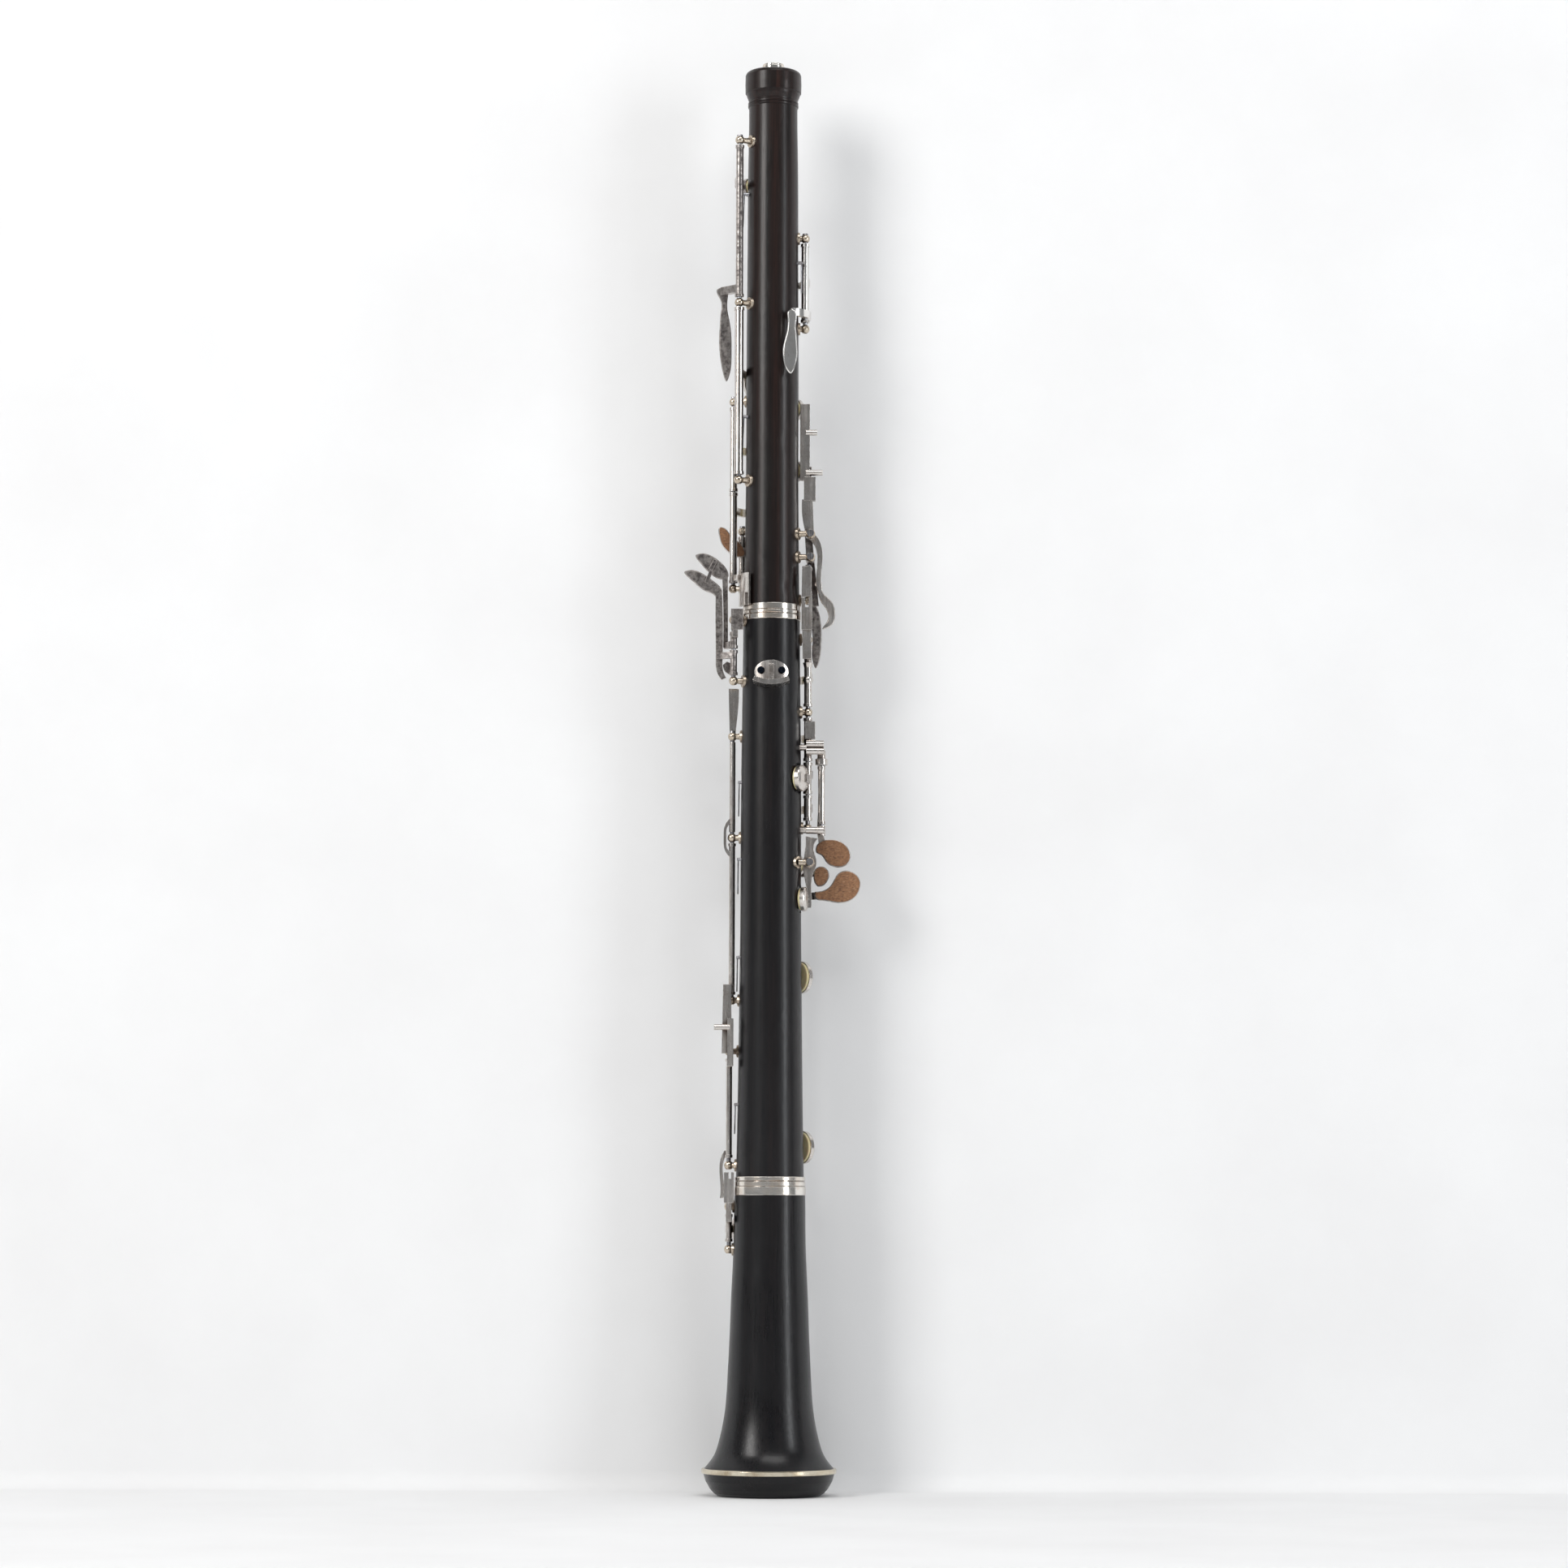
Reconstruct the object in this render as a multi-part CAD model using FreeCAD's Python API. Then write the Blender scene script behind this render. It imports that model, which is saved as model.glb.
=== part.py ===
import FreeCAD, Part
import os
from math import atan2, cos, degrees, hypot, radians, sin, sqrt

# Oboe with its keywork.  Millimetres.  +Z runs up the bore from the bell to the reed well, the
# origin is the centre of the bell's end face, +Y is the side the fingers play on and -Y is the
# side with the thumb rest.  Angles are measured in the horizontal plane, from +X towards +Y.

V = FreeCAD.Vector
UP = V(0, 0, 1)

# ---- driving dimensions -------------------------------------------------------------------
LENGTH = 592.0            # bell end to the top of the reed well liner
CAP_TOP = 588.9           # top of the wooden cap
MID_JOINT = 360.9         # where the two long wooden sections meet
LOW_JOINT = 124.7         # where the lower section meets the bell
TENON = 17.0              # length of both tenons
MID_TENON_R = 7.5
LOW_TENON_R = 10.6
TENON_CORK = 0.4          # how far the cork stands out of its groove
REED_WELL_R = 3.5
REED_WELL_DEPTH = 20.0
LINER_R = 4.2
MOUTH_R = 18.0            # inside of the bell at its end
MOUTH_STRAIGHT = 5.0      # height of the straight part of the mouth

ROD_R = 0.9               # steel hinge rods
TUBE_BORE = 0.95          # hinge tubes turn on the rods with 0.05 mm all round
TUBE_R = 1.55
TUBE_FAT_R = 1.8
BALL_R = 1.9              # heads of the posts
PAD_GAP = 0.3             # a closed pad stays this far above its seat
PAD_THICK = 1.9
CUP_LIP = 1.0             # how much of the pad shows below its cup
CUP_HEIGHT = 2.0
DOME = 0.8

# Outside of the wood as (height, radius), one list per section, from its foot to its top.
BELL_OUTSIDE = [
    (0.0, 20.0), (0.3, 21.0), (1.2, 22.4), (3.0, 24.0), (6.0, 25.7), (9.1, 26.6), (11.1, 26.2),
    (12.8, 24.7), (16.7, 22.1), (20.6, 20.7), (28.4, 18.85), (36.2, 17.7), (48.0, 16.95),
    (63.6, 16.2), (79.4, 15.65), (95.0, 14.9), (103.0, 14.65), (118.0, 14.5), (121.0, 14.45)]
LOWER_OUTSIDE = [
    (128.6, 13.85), (162.0, 13.25), (202.0, 12.8), (229.0, 12.52), (276.0, 12.45),
    (327.0, 11.95), (357.0, 11.7)]
UPPER_OUTSIDE = [
    (363.6, 11.4), (379.0, 11.25), (424.0, 10.85), (457.0, 10.85), (519.0, 10.55),
    (552.0, 10.35), (568.0, 10.1), (571.4, 10.1)]
CAP_OUTSIDE = [
    (571.4, 10.1), (573.2, 10.1), (573.4, 10.45), (574.1, 10.55), (574.4, 10.2), (574.6, 10.45),
    (575.3, 10.5), (575.6, 10.15), (576.2, 10.25), (577.2, 10.6), (578.2, 11.0), (579.2, 11.25),
    (579.5, 11.65), (583.0, 11.75), (586.9, 11.65), (587.9, 11.2), (588.5, 10.3), (588.8, 8.5),
    (588.9, 6.5)]
# Air column as (height, radius).
UPPER_BORE = [(570.0, 2.15), (343.9, 4.75)]
LOWER_BORE = [(343.9, 4.85), (107.7, 8.0)]
BELL_BORE = [(107.7, 8.2), (80.0, 10.4), (45.0, 13.4), (20.0, 16.4), (MOUTH_STRAIGHT, MOUTH_R)]

# Hinge rods: where each stands in the horizontal plane.
ROD_A = (-13.8, -7.5)     # left, upper section: side octave key and first finger key
ROD_C = (-16.0, 4.0)      # left, upper section: second and third finger keys
ROD_GS = (-12.3, 10.3)    # G sharp key
ROD_T = (13.5, 0.5)       # thumb octave key
ROD_B = (15.05, 1.0)      # right, both sections: bridge and right-hand stack
ROD_E = (-15.6, -4.6)     # levers for the left little finger
ROD_D = (-15.95, 2.0)     # long rod down the left of the lower section
ROD_D2 = (-16.8, 2.0)
ROD_BELL = (-16.65, 2.0)
ROD_O = (20.7, 4.0)       # outrigger rod of the E flat touch
ROD_G = (-6.1, 16.8)      # low C sharp, C and B keys

# Tone holes: height, angle, pad radius, hole radius.
HOLES = {
    "side_octave": (541.0, 150.0, 3.3, 0.9),
    "thumb_octave": (500.0, 62.0, 3.3, 0.9),
    "left_first": (458.0, 112.0, 5.4, 1.9),
    "trill_one": (447.0, 35.0, 3.9, 1.8),
    "left_second": (430.0, 90.0, 5.6, 2.3),
    "trill_two": (421.0, 35.0, 3.9, 1.9),
    "left_third": (403.0, 90.0, 5.6, 2.5),
    "g_sharp": (382.0, 62.0, 4.6, 2.4),
    "right_first": (334.0, 90.0, 5.8, 2.7),
    "right_second": (307.0, 90.0, 5.8, 2.9),
    "f": (291.5, -24.0, 5.0, 2.6),
    "right_third": (280.0, 90.0, 5.8, 3.0),
    "c_sharp": (257.0, 48.0, 4.4, 2.5),
    "e_flat": (242.0, -12.0, 4.5, 2.6),
    "low_c": (210.5, 30.0, 6.2, 3.6),
    "low_b": (140.8, 30.0, 6.3, 4.0),
    "bell": (107.5, 128.0, 5.6, 3.4)}
# Keys that stand open: the rod each turns on, and the angle from closed to rest.
OPEN = {
    "left_first": (ROD_A, 5.8), "left_second": (ROD_C, 6.2), "left_third": (ROD_C, 6.2),
    "right_first": (ROD_B, -7.0), "right_second": (ROD_B, -7.0), "right_third": (ROD_B, -7.0),
    "c_sharp": (ROD_G, 6.5), "low_c": (ROD_G, 7.0), "low_b": (ROD_G, 7.0),
    "bell": (ROD_BELL, 9.5)}


# ---- helpers ------------------------------------------------------------------------------
def polar(radius, angle, z):
    """Point at a radius and an angle round the bore."""
    return V(radius * cos(radians(angle)), radius * sin(radians(angle)), z)


def outside(z):
    """Radius of the wood at a height."""
    profile = BELL_OUTSIDE + LOWER_OUTSIDE + UPPER_OUTSIDE + CAP_OUTSIDE
    for (z0, r0), (z1, r1) in zip(profile, profile[1:]):
        if z0 <= z <= z1:
            return r0 + (r1 - r0) * (z - z0) / max(z1 - z0, 1e-9)
    raise ValueError(z)


def fused(shapes):
    """One solid out of several that overlap."""
    shapes = list(shapes)
    body = shapes[0]
    if len(shapes) > 1:
        body = body.multiFuse(shapes[1:])
    return body.removeSplitter()


def bar(p0, p1, r0, r1=None):
    """Round bar, or a cone when the second radius differs."""
    p0, p1 = V(*p0), V(*p1)
    along = p1 - p0
    if r1 is None or abs(r1 - r0) < 1e-6:
        return Part.makeCylinder(r0, along.Length, p0, along)
    return Part.makeCone(r0, r1, along.Length, p0, along)


def ball(centre, radius):
    return Part.makeSphere(radius, V(*centre))


def turned(profile, origin=V(0, 0, 0), axis=UP):
    """Solid of revolution from (radius, height) corners, its height along the axis."""
    corners = [V(r, 0, h) for r, h in profile]
    wire = Part.makePolygon(corners + [corners[0]])
    solid = Part.Face(wire).revolve(V(0, 0, 0), UP, 360)
    spin = FreeCAD.Rotation(UP, axis)
    solid.Placement = FreeCAD.Placement(origin, spin)
    return solid


def ring(r_in, r_out, z0, z1):
    return turned([(r_in, z0), (r_out, z0), (r_out, z1), (r_in, z1)])


def lathe(curve, inner, foot, top):
    """Wood turned to a smooth outside curve, left solid or bored to a given radius."""
    spline = Part.BSplineCurve()
    spline.interpolate([V(r, 0, z) for z, r in curve])
    edges = [
        spline.toShape(),
        Part.makeLine(V(curve[-1][1], 0, top), V(inner, 0, top)),
        Part.makeLine(V(inner, 0, top), V(inner, 0, foot)),
        Part.makeLine(V(inner, 0, foot), V(curve[0][1], 0, foot))]
    return Part.Face(Part.Wire(edges)).revolve(V(0, 0, 0), UP, 360)


def bore_cutter(profile):
    """Solid that fills the air column through the given (height, radius) points."""
    corners = [(0.0, profile[0][0])]
    corners += [(r, z) for z, r in profile]
    corners += [(0.0, profile[-1][0])]
    return turned(corners)


def outline(points, plane, offset):
    """Face inside a smooth closed curve through points of a plane."""
    spline = Part.BSplineCurve()
    spline.interpolate([in_plane(u, v, plane, offset) for u, v in points], True)
    return Part.Face(Part.Wire([spline.toShape()]))


def in_plane(u, v, plane, offset):
    if plane == "XY":
        return V(u, v, offset)
    if plane == "XZ":
        return V(u, offset, v)
    return V(offset, u, v)


def slab(face, plane, thickness):
    """Face thickened across its plane."""
    across = {"XY": V(0, 0, 1), "XZ": V(0, 1, 0), "YZ": V(1, 0, 0)}[plane]
    return face.extrude(across * thickness)


def shrunk(points, inset):
    """Closed outline moved inwards by an inset, point by point."""
    area = sum(a[0] * b[1] - b[0] * a[1] for a, b in zip(points, points[1:] + points[:1]))
    turn = 1.0 if area > 0 else -1.0
    moved = []
    for i, (u, v) in enumerate(points):
        ahead, behind = points[(i + 1) % len(points)], points[i - 1]
        du, dv = ahead[0] - behind[0], ahead[1] - behind[1]
        size = hypot(du, dv)
        moved.append((u - turn * dv / size * inset, v + turn * du / size * inset))
    return moved


def leaf(points, plane, offset, thickness, edge=0.0):
    """Flat touch piece with a smooth outline and softened edges."""
    if edge == 0:
        return slab(outline(points, plane, offset), plane, thickness)
    inner = shrunk(points, edge)
    levels = [(inner, 0.0), (points, edge), (points, thickness - edge), (inner, thickness)]
    wires = [outline(row, plane, offset + level).OuterWire for row, level in levels]
    return Part.makeLoft(wires, True, True)


def strap(points, plane, offset, thickness):
    """Bar that follows a smooth path in a plane; each point is (u, v, half width)."""
    left, right = [], []
    for i, (u, v, half) in enumerate(points):
        ahead = points[min(i + 1, len(points) - 1)]
        behind = points[max(i - 1, 0)]
        du, dv = ahead[0] - behind[0], ahead[1] - behind[1]
        size = hypot(du, dv)
        left.append(in_plane(u - dv / size * half, v + du / size * half, plane, offset))
        right.append(in_plane(u + dv / size * half, v - du / size * half, plane, offset))
    edges = []
    for side in (left, right[::-1]):
        if len(side) == 2:
            edges.append(Part.makeLine(side[0], side[1]))
        else:
            spline = Part.BSplineCurve()
            spline.interpolate(side)
            edges.append(spline.toShape())
    edges.append(Part.makeLine(left[-1], right[-1]))
    edges.append(Part.makeLine(right[0], left[0]))
    face = Part.Face(Part.Wire(Part.sortEdges(edges)[0]))
    return slab(face, plane, thickness)


def arm(path, z, height):
    """Flat arm in a horizontal plane centred on a height; path points are (x, y, half width)."""
    return strap(path, "XY", z - height / 2, height)


def around(radius, angle, half=0.95):
    """Path point for an arm at a radius and an angle."""
    return (radius * cos(radians(angle)), radius * sin(radians(angle)), half)


def seat_radius(name):
    """Distance from the bore's axis to the flat the pad closes on."""
    z, _, pad_r, _ = HOLES[name]
    return sqrt(outside(z) ** 2 - (pad_r * 0.93) ** 2)


def hole_cutters(names):
    """What the tone holes and their flat seats take out of the wood."""
    cutters = []
    for name in names:
        z, angle, pad_r, hole_r = HOLES[name]
        out = polar(1, angle, 0)
        cutters.append(Part.makeCylinder(hole_r, 20, V(0, 0, z), out))
        start = polar(seat_radius(name), angle, z)
        cutters.append(Part.makeCylinder(pad_r + 1.3, 6, start, out))
    return cutters


def on_hole(profile, name):
    """Turned piece over a tone hole, swung from its closed place to its place at rest."""
    z, angle, _, _ = HOLES[name]
    closed = polar(seat_radius(name) + PAD_GAP, angle, z)
    piece = turned(profile, closed, polar(1, angle, 0))
    if name in OPEN:
        axis, swing = OPEN[name]
        piece.rotate(V(*axis, 0), UP, swing)
    return piece


def pad(name):
    """Pad of a tone hole, at rest."""
    r = HOLES[name][2]
    profile = [(0, 0), (r - 0.4, 0), (r - 0.1, 0.15), (r, 0.5), (r, PAD_THICK), (0, PAD_THICK)]
    return on_hole(profile, name)


def cup(name, plate=False, vent=0.0):
    """Cup over a pad: domed, or a dished finger plate with an optional vent."""
    r = HOLES[name][2]
    low, high = CUP_LIP, CUP_LIP + CUP_HEIGHT
    wall = r + 0.45
    if plate:
        wall = r + 0.9
        top = [(wall, high - 0.5), (wall - 0.35, high + 0.1), (wall - 1.1, high + 0.15),
               (wall * 0.5, high - 0.25), (vent, high - 0.4)]
    else:
        top = [(wall, high - 0.5), (wall - 0.3, high - 0.1), (wall * 0.72, high + DOME * 0.55),
               (wall * 0.4, high + DOME * 0.9), (vent, high + DOME)]
    profile = [(r, low), (wall, low)] + top + [(vent, PAD_THICK), (r, PAD_THICK)]
    return on_hole(profile, name)


def cup_end(name, lift=0.1, half=0.9):
    """Path point for an arm where it meets the back of a cup."""
    z, angle, _, _ = HOLES[name]
    end = polar(seat_radius(name) + PAD_GAP + CUP_LIP + CUP_HEIGHT + lift, angle, z)
    if name in OPEN:
        axis, swing = OPEN[name]
        spin = FreeCAD.Rotation(UP, swing)
        end = V(*axis, z) + spin.multVec(end - V(*axis, z))
    return (end.x, end.y, half)


def tube(axis, z0, z1, radius=TUBE_R, collars=True):
    """Outside of a hinge tube, with a small collar near each end."""
    parts = [bar((*axis, z0), (*axis, z1), radius)]
    if collars:
        for z in (z0, z1 - 1.2):
            parts.append(bar((*axis, z), (*axis, z + 1.2), radius + 0.3))
    return fused(parts)


def hinged(axis, z0, z1, parts, radius=TUBE_R, hole=None):
    """Key: a hinge tube fused with its arms and cup, bored for its rod."""
    solid = fused([tube(axis, z0, z1, radius)] + parts)
    cutters = [bar((*axis, z0 - 0.6), (*axis, z1 + 0.6), TUBE_BORE)]
    if hole:
        cutters.append(pad(hole))
    return solid.cut(cutters)


def post(axis, z, lean=0.0):
    """Post from the wood to a ball that holds a hinge rod."""
    angle = degrees(atan2(axis[1], axis[0])) + lean
    r_wood = outside(z)
    foot = polar(r_wood - 0.5, angle, z)
    shoulder = polar(r_wood + 0.7, angle, z)
    head = V(*axis, z)
    parts = [
        bar(foot, shoulder, 2.7, 2.5),
        bar(shoulder, head, 1.35, 0.95),
        Part.makeSphere(BALL_R, head)]
    solid = fused(parts)
    return solid.cut(bar((*axis, z - 3), (*axis, z + 3), ROD_R))


def rod(axis, z0, z1):
    """Steel rod with a slotted head at its upper end."""
    solid = fused([
        bar((*axis, z0), (*axis, z1), ROD_R),
        bar((*axis, z1), (*axis, z1 + 0.9), 1.3, 1.15)])
    slot = Part.makeBox(3.4, 0.4, 0.6, V(axis[0] - 1.7, axis[1] - 0.2, z1 + 0.45))
    return solid.cut(slot)


def screw_head(centre, out, radius, height):
    """Domed slotted screw head on a shank; its head points along out."""
    out = V(*out).normalize()
    profile = [(0, -2.2), (radius * 0.5, -2.2), (radius * 0.5, 0), (radius, 0),
               (radius, height * 0.5), (radius * 0.75, height * 0.9), (0, height)]
    head = turned(profile, V(*centre), out)
    slot = Part.makeBox(radius * 3, 0.45, height, V(-radius * 1.5, -0.22, height * 0.45))
    slot.Placement = FreeCAD.Placement(V(*centre), FreeCAD.Rotation(UP, out))
    return head.cut(slot)


# ---- wood ---------------------------------------------------------------------------------
def make_upper_joint():
    body = lathe(UPPER_OUTSIDE, 1.0, UPPER_OUTSIDE[0][0], UPPER_OUTSIDE[-1][0])
    cap = turned([(1.0, CAP_OUTSIDE[0][0])] + [(r, z) for z, r in CAP_OUTSIDE] + [(1.0, CAP_TOP)])
    neck = ring(1.0, 10.4, MID_JOINT, UPPER_OUTSIDE[0][0])
    tenon = ring(1.0, MID_TENON_R, MID_JOINT - TENON, MID_JOINT)
    groove = ring(MID_TENON_R - 0.6, MID_TENON_R + 1, MID_JOINT - 14.0, MID_JOINT - 3.0)
    well = Part.makeCylinder(LINER_R, REED_WELL_DEPTH + 10, V(0, 0, 590.8 - REED_WELL_DEPTH))
    names = ["side_octave", "thumb_octave", "left_first", "trill_one", "left_second",
             "trill_two", "left_third", "g_sharp"]
    solid = fused([body, cap, neck, tenon])
    return solid.cut([bore_cutter([(572.0, 2.15)] + UPPER_BORE[1:]), well, groove]
                     + hole_cutters(names))


def make_lower_joint():
    body = lathe(LOWER_OUTSIDE, 1.0, LOWER_OUTSIDE[0][0], LOWER_OUTSIDE[-1][0])
    crown = ring(1.0, 10.8, LOWER_OUTSIDE[-1][0], MID_JOINT)
    neck = ring(1.0, 13.0, LOW_JOINT, LOWER_OUTSIDE[0][0])
    tenon = ring(1.0, LOW_TENON_R, LOW_JOINT - TENON, LOW_JOINT)
    groove = ring(LOW_TENON_R - 0.6, LOW_TENON_R + 1, LOW_JOINT - 14.0, LOW_JOINT - 3.0)
    socket = Part.makeCylinder(MID_TENON_R + 0.3, TENON + 1, V(0, 0, MID_JOINT - TENON))
    names = ["right_first", "right_second", "f", "right_third", "c_sharp", "e_flat", "low_c",
             "low_b"]
    solid = fused([body, crown, neck, tenon])
    return solid.cut([bore_cutter(LOWER_BORE), socket, groove] + hole_cutters(names))


def make_bell():
    body = lathe(BELL_OUTSIDE[6:], 1.0, BELL_OUTSIDE[6][0], BELL_OUTSIDE[-1][0])
    lip = turned([(1.0, 0.0)] + [(r, z) for z, r in BELL_OUTSIDE[:6]]
                 + [(25.6, 9.1), (25.6, 11.1), (1.0, 11.1)])
    crown = ring(1.0, 13.2, BELL_OUTSIDE[-1][0], LOW_JOINT)
    socket = Part.makeCylinder(LOW_TENON_R + 0.3, TENON + 1, V(0, 0, LOW_JOINT - TENON))
    mouth = bore_cutter(BELL_BORE + [(-1.0, MOUTH_R)])
    solid = fused([body, lip, crown])
    return solid.cut([mouth, socket] + hole_cutters(["bell"]))


def make_tenon_corks():
    corks = []
    for z, r, socket in ((MID_JOINT, MID_TENON_R, 0.3), (LOW_JOINT, LOW_TENON_R, 0.3)):
        corks.append(ring(r - 0.6, r + socket, z - 14.0, z - 3.0))
    return Part.makeCompound(corks)


# ---- turned metal -------------------------------------------------------------------------
def make_reed_well_liner():
    base = 590.8 - REED_WELL_DEPTH
    return turned([
        (REED_WELL_R, base), (LINER_R, base), (LINER_R, CAP_TOP), (4.6, CAP_TOP),
        (4.6, 591.0), (4.45, 591.2), (4.45, 591.7), (4.2, LENGTH), (REED_WELL_R, LENGTH)])


def grooved_ring(r_in, z0, z1, r_band, grooves):
    """Ferrule with softened edges and V grooves round it at the given heights."""
    rows = [(r_band - 0.25, z0), (r_band, z0 + 0.25)]
    for z in grooves:
        rows += [(r_band, z - 0.3), (r_band - 0.35, z - 0.08), (r_band - 0.35, z + 0.08),
                 (r_band, z + 0.3)]
    rows += [(r_band, z1 - 0.25), (r_band - 0.25, z1)]
    return turned([(r_in, z0)] + rows + [(r_in, z1)])


def make_ferrules():
    return Part.makeCompound([
        grooved_ring(10.4, MID_JOINT, 363.6, 11.85, []),
        grooved_ring(10.8, 357.0, MID_JOINT, 12.15, [359.3]),
        grooved_ring(13.0, LOW_JOINT, 128.6, 14.5, [126.8]),
        grooved_ring(13.2, 121.0, LOW_JOINT, 14.6, [])])


def make_bell_ring():
    return turned([
        (25.6, 9.1), (27.2, 9.1), (27.45, 9.5), (27.45, 10.7), (27.1, 11.1), (25.6, 11.1)])


def make_octave_vents():
    """Small tubes screwed into the two octave holes."""
    vents = []
    for name in ("side_octave", "thumb_octave"):
        z, angle, _, hole_r = HOLES[name]
        start = polar(4.6, angle, z)
        length = seat_radius(name) - 4.6 - 0.05
        profile = [(0.45, 0), (hole_r, 0), (hole_r, length), (0.45, length)]
        vents.append(turned(profile, start, polar(1, angle, 0)))
    return Part.makeCompound(vents)


# ---- thumb rest ---------------------------------------------------------------------------
REST_Z = 334.8


def make_thumb_rest():
    """Oval saddle on the wood with a curved hook that the thumb carries."""
    r = outside(REST_Z)
    oval = [(7.0 * cos(radians(a)), REST_Z + 4.6 * sin(radians(a))) for a in range(0, 360, 30)]
    blank = leaf(oval, "XZ", -r - 3.0, 12.0)
    shell = ring(r + 0.02, r + 1.5, REST_Z - 8, REST_Z + 8)
    saddle = blank.common(shell)
    hook_path = [(-7.2, REST_Z - 4.0, 0.9), (-4.2, REST_Z - 5.1, 1.0), (0.0, REST_Z - 5.5, 1.05),
                 (4.2, REST_Z - 5.1, 1.0), (7.2, REST_Z - 4.0, 0.9)]
    hook = strap(hook_path, "XZ", -r - 11.5, 11.8)
    rib = strap([(-r - 8.5, REST_Z - 5.0, 0.6), (-r - 0.6, REST_Z + 2.5, 1.0)], "YZ", -1.0, 2.0)
    inside = Part.makeCylinder(r + 0.02, 24, V(0, 0, REST_Z - 12))
    solid = fused([saddle, hook, rib]).cut(inside)
    holes = [Part.makeCylinder(0.8, 6, V(x, -r - 3, REST_Z + 0.4), V(0, 1, 0)) for x in (-4.3, 4.3)]
    return solid.cut(holes)


# ---- upper section keys -------------------------------------------------------------------
def make_side_octave_key():
    head = cup("side_octave")
    reach = arm([(*ROD_A, 1.3), around(15.2, 190), around(14.6, 172),
                 cup_end("side_octave", half=0.8)], 541.0, 2.8)
    hub = arm([(*ROD_A, 1.5), (-17.6, -4.4, 1.2), (-21.0, -1.6, 1.0)], 495.2, 3.2)
    touch = leaf([(-22.1, 496.6), (-19.2, 496.8), (-18.9, 490.0), (-18.0, 483.2), (-17.1, 476.2),
                  (-17.0, 468.0), (-17.6, 461.0), (-19.1, 457.3), (-20.7, 461.5), (-21.8, 468.0),
                  (-22.2, 475.1), (-21.9, 481.5), (-21.5, 486.5), (-21.7, 491.5)],
                 "XZ", -2.3, 1.5, 0.35)
    return hinged(ROD_A, 491.7, 555.7, [reach, hub, touch, head], TUBE_R, "side_octave")


def make_thumb_octave_key():
    head = cup("thumb_octave")
    reach = arm([(*ROD_T, 1.3), around(15.4, 20), around(15.2, 42),
                 cup_end("thumb_octave", half=0.8)], 500.0, 2.8)
    hub = arm([(*ROD_T, 1.5), (14.6, -4.6, 1.3), (12.4, -9.6, 1.1), (7.6, -12.6, 0.9)],
              484.4, 3.0)
    touch = leaf([(6.9, 484.9), (8.6, 485.2), (9.8, 483.6), (9.6, 478.5), (9.9, 475.0),
                  (10.2, 470.0), (10.3, 466.0), (9.6, 462.5), (8.8, 460.0), (7.6, 458.5),
                  (5.7, 460.5), (4.6, 464.0), (4.3, 467.5), (4.7, 471.0), (5.9, 475.6),
                  (6.3, 479.0), (6.2, 482.5)], "XZ", -13.6, 1.4, 0.4)
    return hinged(ROD_T, 482.5, 515.7, [reach, hub, touch, head], TUBE_R, "thumb_octave")


def make_left_first_key():
    """Half-hole plate with its spatula."""
    head = cup("left_first", plate=True, vent=0.6)
    reach = arm([(*ROD_A, 1.4), around(14.1, 190), around(13.4, 165), around(14.3, 140),
                 cup_end("left_first", -0.7, 0.8)], 461.5, 3.4)
    top = seat_radius("left_first") + PAD_GAP + CUP_LIP + CUP_HEIGHT
    spatula = leaf([(-3.6, 453.6), (3.6, 453.6), (4.4, 449.0), (3.2, 445.4), (0.0, 444.4),
                    (-3.2, 445.4), (-4.4, 449.0)], "YZ", top - 1.1, 1.3, 0.3)
    spatula.rotate(V(0, 0, 0), UP, 112)
    spatula.rotate(V(*ROD_A, 0), UP, OPEN["left_first"][1])
    return hinged(ROD_A, 417.3, 487.2, [reach, head, spatula], TUBE_FAT_R, "left_first")


def wrapped_plate(r_in, r_out, a0, a1, z0, z1):
    """Plate bent round the wood between two angles."""
    corners = [V(r_in, 0, z0), V(r_out, 0, z0), V(r_out, 0, z1), V(r_in, 0, z1)]
    face = Part.Face(Part.makePolygon(corners + [corners[0]]))
    solid = face.revolve(V(0, 0, 0), UP, a1 - a0)
    solid.rotate(V(0, 0, 0), UP, a0)
    return solid


def stack_key(axis, z0, z1, name, path, vent, z_arm=None):
    """Finger plate on an arm from its hinge tube."""
    z = HOLES[name][0] if z_arm is None else z_arm
    reach = arm([(*axis, 1.3)] + path, z, 3.2)
    head = cup(name, plate=True, vent=vent)
    return hinged(axis, z0, z1, [reach, head], TUBE_R, name)


def make_left_second_key():
    path = [around(16.6, 145), around(16.4, 120), cup_end("left_second", -0.7, 0.8)]
    return stack_key(ROD_C, 412.0, 447.2, "left_second", path, 0.6)


def make_left_third_key():
    """Third finger plate, with the plate that reaches down towards the lower section."""
    reach = arm([(*ROD_C, 1.3), around(16.6, 145), around(16.4, 120),
                 cup_end("left_third", -0.7, 0.8)], 404.0, 3.2)
    link = arm([(*ROD_C, 1.2), (-15.3, 0.2, 1.0), around(13.6, 194, 0.9)], 375.0, 2.4)
    wrap = wrapped_plate(12.4, 13.7, 188.0, 226.0, 362.9, 376.2)
    notch = Part.makeBox(1.3, 4.0, 6.0, V(-11.0, -12.0, 362.0))
    parts = [reach, link, wrap.cut(notch), cup("left_third", plate=True)]
    return hinged(ROD_C, 373.6, 411.4, parts, TUBE_R, "left_third")


G_SHARP_TOUCH = [
    (-21.2, 397.8), (-18.9, 396.8), (-17.0, 394.2), (-13.8, 391.6), (-11.6, 388.8),
    (-11.3, 385.8), (-13.6, 385.0), (-17.1, 386.4), (-20.0, 389.0), (-22.0, 394.2)]


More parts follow.
